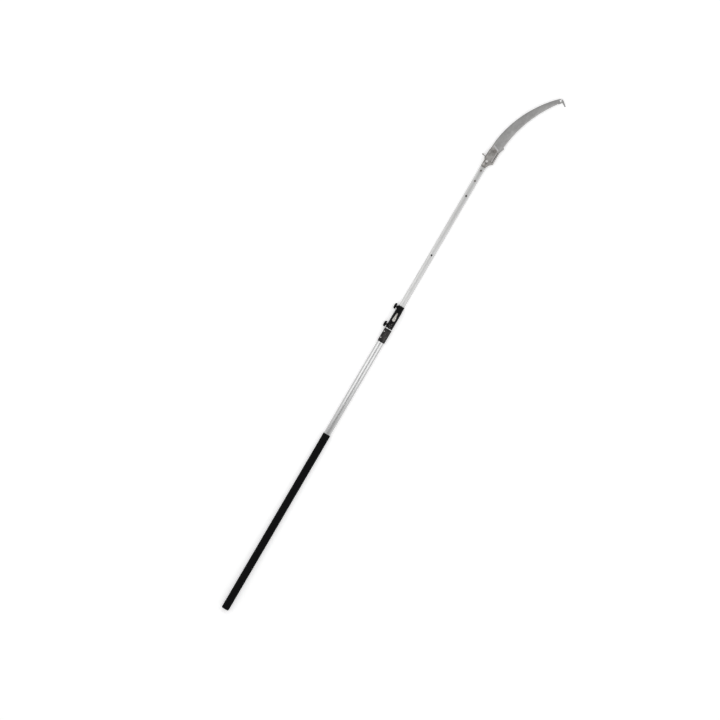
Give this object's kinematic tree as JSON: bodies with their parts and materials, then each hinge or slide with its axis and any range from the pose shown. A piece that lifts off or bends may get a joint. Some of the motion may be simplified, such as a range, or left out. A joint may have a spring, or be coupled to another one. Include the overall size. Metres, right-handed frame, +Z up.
{
  "type": "pole saw",
  "caption": "Telescopic pole saw: oval aluminium tubes, black grip, lock housing with latch lever and clamp knobs, curved toothed blade with a tip hook.",
  "frame": {"origin": "middle of the saw's footprint on the surface it lies on, wide face up", "axes": "+X along the pole from the butt to the blade, +Y to the saw's back where the knobs are, +Z up out of the wide face"},
  "size_m": [2.7468, 0.2192, 0.0335],
  "materials": {
    "tube_bright": "bright anodised, faint drawing lines",
    "tube_satin": "satin anodised, faint drawing lines",
    "grey_casting": "blasted die casting, worn on its edges",
    "blade_steel": "ground along the blade",
    "grip_rubber": "matt black",
    "black_nylon": "moulded, fine grain",
    "natural_nylon": "moulded, natural colour",
    "lever_metal": "light satin casting",
    "bright_steel": "bright zinc plated",
    "dark_steel": "blackened",
    "spring_steel": "blued"
  },
  "bodies": {
    "handle": {"outer_tube": "tube_bright", "grip_sleeve": "grip_rubber", "end_cap": "grip_rubber", "collar_sleeve": "grip_rubber", "collar_screw_front": "bright_steel", "collar_screw_rear": "bright_steel", "lock_housing": "black_nylon", "wiper_ring": "grip_rubber", "latch_hinge_pin": "bright_steel", "latch_spring": "spring_steel", "thread_insert_lower": "dark_steel", "thread_insert_upper": "dark_steel"},
    "latch": {"latch_lever": "lever_metal", "lock_pin": "bright_steel"},
    "lower_pad": {"clamp_pad_lower": "natural_nylon"},
    "lower_knob": {"clamp_screw_lower": "bright_steel", "clamp_knob_lower": "black_nylon"},
    "upper_pad": {"clamp_pad_upper": "natural_nylon"},
    "upper_knob": {"clamp_screw_upper": "bright_steel", "clamp_knob_upper": "black_nylon"},
    "saw_head": {"inner_tube": "tube_satin", "inner_tube_guide": "natural_nylon", "head_casting": "grey_casting", "blade_cover": "grey_casting", "blade": "blade_steel", "blade_bolt_rear": "bright_steel", "blade_nut_rear": "bright_steel", "blade_bolt_front": "dark_steel", "blade_nut_front": "dark_steel", "tube_bolt_front": "dark_steel", "tube_bolt_rear": "dark_steel", "tube_nut_front": "dark_steel", "tube_nut_rear": "dark_steel", "scabbard_stud": "bright_steel"}
  },
  "joints": [
    {"name": "tube_slide", "type": "slide", "parent": "handle", "child": "saw_head", "axis": [1, 0, 0], "range_m": [-0.6174, 0.6174]},
    {"name": "latch_rock", "type": "hinge", "parent": "handle", "child": "latch", "pos_m": [0.14359, 0.07477, 0.0312], "axis": [0, 1, 0], "range_deg": [0, 8]},
    {"name": "clamp_lower_travel", "type": "slide", "parent": "handle", "child": "lower_pad", "axis": [0, 1, 0], "range_m": [0, 0.0005]},
    {"name": "clamp_lower_turn", "type": "hinge", "parent": "lower_pad", "child": "lower_knob", "pos_m": [0.09979, 0.09337, 0.0145], "axis": [0, 1, 0], "range_deg": [0, 180]},
    {"name": "clamp_upper_travel", "type": "slide", "parent": "handle", "child": "upper_pad", "axis": [0, 1, 0], "range_m": [0, 0.0005]},
    {"name": "clamp_upper_turn", "type": "hinge", "parent": "upper_pad", "child": "upper_knob", "pos_m": [0.19199, 0.09337, 0.0145], "axis": [0, 1, 0], "range_deg": [0, 180]}
  ],
  "couplings": [
    {"joint": "clamp_lower_turn", "follows": "clamp_lower_travel", "rad_per_m": 6283},
    {"joint": "clamp_upper_turn", "follows": "clamp_upper_travel", "rad_per_m": 6283}
  ]
}
